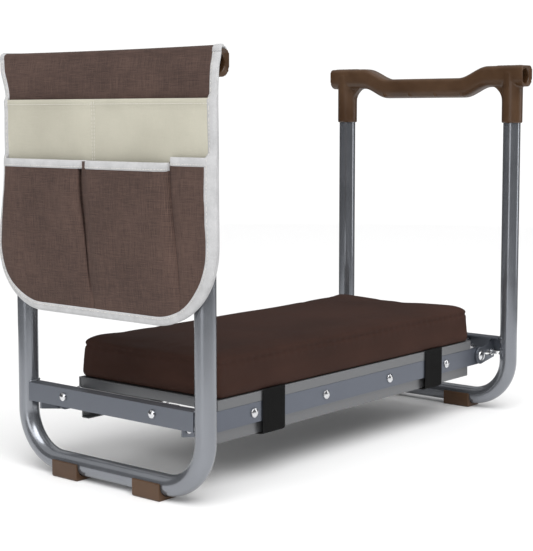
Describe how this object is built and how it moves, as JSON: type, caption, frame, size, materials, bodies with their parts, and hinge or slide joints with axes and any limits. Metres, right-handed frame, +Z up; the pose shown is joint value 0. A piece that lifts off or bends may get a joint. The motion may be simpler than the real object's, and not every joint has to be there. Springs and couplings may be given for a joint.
{
  "type": "garden kneeler seat",
  "caption": "Folding garden kneeler seat: padded seat pan between two U-shaped tube legs with moulded handles, and a tool pouch over the left handle.",
  "frame": {"origin": "on the floor under the middle of the whole object's box, pouch included", "axes": "+X along the seat towards the leg without the pouch, +Y to the back, +Z up"},
  "size_m": [0.6977, 0.342, 0.493],
  "materials": {
    "painted_tube": "silver-grey metallic paint, satin",
    "painted_sheet": "grey paint, satin",
    "painted_rail": "blue-grey paint, satin",
    "bright_zinc": "bright zinc plate",
    "brown_plastic": "fine moulded grain, low sheen",
    "cushion_cover": "dark brown woven cover",
    "elastic": "black ribbed elastic",
    "pouch_brown": "heathered brown woven cloth",
    "pouch_beige": "beige woven cloth"
  },
  "bodies": {
    "seat": {"cushion": "cushion_cover", "front_rail": "painted_rail", "front_rail_bolt_1": "bright_zinc", "front_rail_bolt_2": "bright_zinc", "front_rail_bolt_3": "bright_zinc", "front_rail_bolt_4": "bright_zinc", "left_pivot_rivet_front": "bright_zinc", "left_pivot_rivet_rear": "bright_zinc", "left_strap": "elastic", "rear_rail": "painted_rail", "rear_rail_bolt_1": "bright_zinc", "rear_rail_bolt_2": "bright_zinc", "rear_rail_bolt_3": "bright_zinc", "rear_rail_bolt_4": "bright_zinc", "right_pivot_rivet_front": "bright_zinc", "right_pivot_rivet_rear": "bright_zinc", "right_strap": "elastic", "seat_pan": "painted_sheet"},
    "left_leg": {"left_cross_channel": "painted_tube", "left_ear_front": "painted_tube", "left_ear_rear": "painted_tube", "left_foot_front": "brown_plastic", "left_foot_rear": "brown_plastic", "left_frame_tube": "painted_tube", "left_handle": "brown_plastic", "left_handle_screw_front": "bright_zinc", "left_handle_screw_rear": "bright_zinc", "left_spring_bolt_front": "bright_zinc", "left_spring_bolt_rear": "bright_zinc", "left_spring_front": "bright_zinc", "left_spring_nut_front": "bright_zinc", "left_spring_nut_rear": "bright_zinc", "left_spring_rear": "bright_zinc", "pouch_closure": "elastic", "pouch_hanger": "pouch_brown"},
    "right_leg": {"right_cross_channel": "painted_tube", "right_ear_front": "painted_tube", "right_ear_rear": "painted_tube", "right_foot_front": "brown_plastic", "right_foot_rear": "brown_plastic", "right_frame_tube": "painted_tube", "right_handle": "brown_plastic", "right_handle_screw_front": "bright_zinc", "right_handle_screw_rear": "bright_zinc", "right_spring_bolt_front": "bright_zinc", "right_spring_bolt_rear": "bright_zinc", "right_spring_front": "bright_zinc", "right_spring_nut_front": "bright_zinc", "right_spring_nut_rear": "bright_zinc", "right_spring_rear": "bright_zinc"},
    "left_lock": {"left_lock_rod": "bright_zinc", "left_rod_clip_front": "bright_zinc", "left_rod_clip_rear": "bright_zinc"},
    "right_lock": {"right_lock_rod": "bright_zinc", "right_rod_clip_front": "bright_zinc", "right_rod_clip_rear": "bright_zinc"},
    "pouch": {"pouch_back_panel": "pouch_brown", "pouch_lower_pockets": "pouch_brown", "pouch_upper_pockets": "pouch_beige"}
  },
  "joints": [
    {"name": "left_leg_fold", "type": "hinge", "parent": "seat", "child": "left_leg", "pos_m": [-0.2789, 0, 0.081], "axis": [0, 1, 0], "range_deg": [0, 56]},
    {"name": "right_leg_fold", "type": "hinge", "parent": "seat", "child": "right_leg", "pos_m": [0.3031, 0, 0.081], "axis": [0, -1, 0], "range_deg": [0, 80]},
    {"name": "left_lock_slide", "type": "slide", "parent": "left_leg", "child": "left_lock", "axis": [1, 0, 0], "range_m": [0, 0.009], "stiffness_N_per_m": 800, "springref_m": -0.003, "deforming": ["left_spring_front", "left_spring_rear"]},
    {"name": "right_lock_slide", "type": "slide", "parent": "right_leg", "child": "right_lock", "axis": [-1, 0, 0], "range_m": [0, 0.009], "stiffness_N_per_m": 800, "springref_m": -0.003, "deforming": ["right_spring_front", "right_spring_rear"]},
    {"name": "pouch_swing", "type": "hinge", "parent": "left_leg", "child": "pouch", "pos_m": [-0.3262, 0, 0.478], "axis": [0, 1, 0], "range_deg": [0, 75]}
  ]
}
